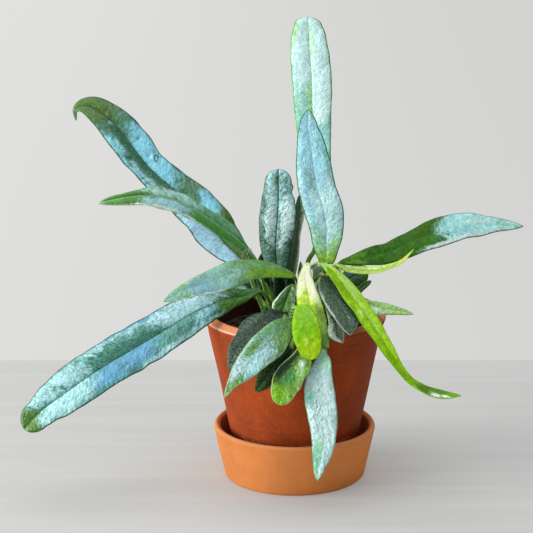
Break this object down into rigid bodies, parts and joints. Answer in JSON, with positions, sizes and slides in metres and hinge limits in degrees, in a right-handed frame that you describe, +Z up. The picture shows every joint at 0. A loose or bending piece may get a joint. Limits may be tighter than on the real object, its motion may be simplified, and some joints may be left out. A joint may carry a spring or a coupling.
{
  "type": "potted blue oil fern",
  "caption": "Leathery strap fronds arching from a creeping rhizome, in a tapered terracotta pot that stands in a deep terracotta saucer.",
  "frame": {"origin": "On the pot's axis, on the flat underside of the saucer.", "axes": "+Z up, -Y towards the side with the hanging fronds, +X towards the long frond that reaches level."},
  "size_m": [0.3573, 0.1948, 0.3241],
  "materials": {
    "saucer_clay": "matt, fine-grained, lighter orange than the pot",
    "pot_clay": "matt, damp red-brown, pale lime marks on the lip",
    "potting_mix": "coarse, damp bark and peat",
    "rhizome_scales": "fuzzy brown scales",
    "frond_green": "leathery, satin gloss, dark green with a blue bloom",
    "frond_blue": "leathery, satin gloss, pale metallic blue bloom over green",
    "frond_lime": "young growth, soft gloss, bright yellow-green"
  },
  "bodies": {
    "root": {"saucer": "saucer_clay", "pot": "pot_clay", "soil": "potting_mix", "rhizome": "rhizome_scales", "frond_long_left": "frond_blue", "frond_left_arching": "frond_green", "frond_blue_left": "frond_blue", "frond_green_left": "frond_green", "frond_notched": "frond_green", "frond_edge_on": "frond_green", "frond_tall": "frond_blue", "frond_front_upright": "frond_blue", "frond_long_right": "frond_green", "frond_yellow_strip": "frond_lime", "frond_long_bright": "frond_lime", "frond_dark_right": "frond_green", "frond_small_right": "frond_green", "frond_yellow_front": "frond_lime", "frond_lime_front": "frond_lime", "frond_dark_left": "frond_green", "frond_glossy_front": "frond_green", "frond_low_front": "frond_green", "frond_behind_front": "frond_green", "frond_hanging": "frond_blue", "frond_low_right": "frond_green", "frond_right_behind": "frond_green", "frond_stub": "frond_green", "frond_folded": "frond_green", "frond_young_curl": "frond_green", "frond_sprout": "frond_green", "frond_back_left": "frond_green", "frond_back_low": "frond_green", "frond_back_centre": "frond_green", "frond_back_right": "frond_green"}
  },
  "joints": []
}
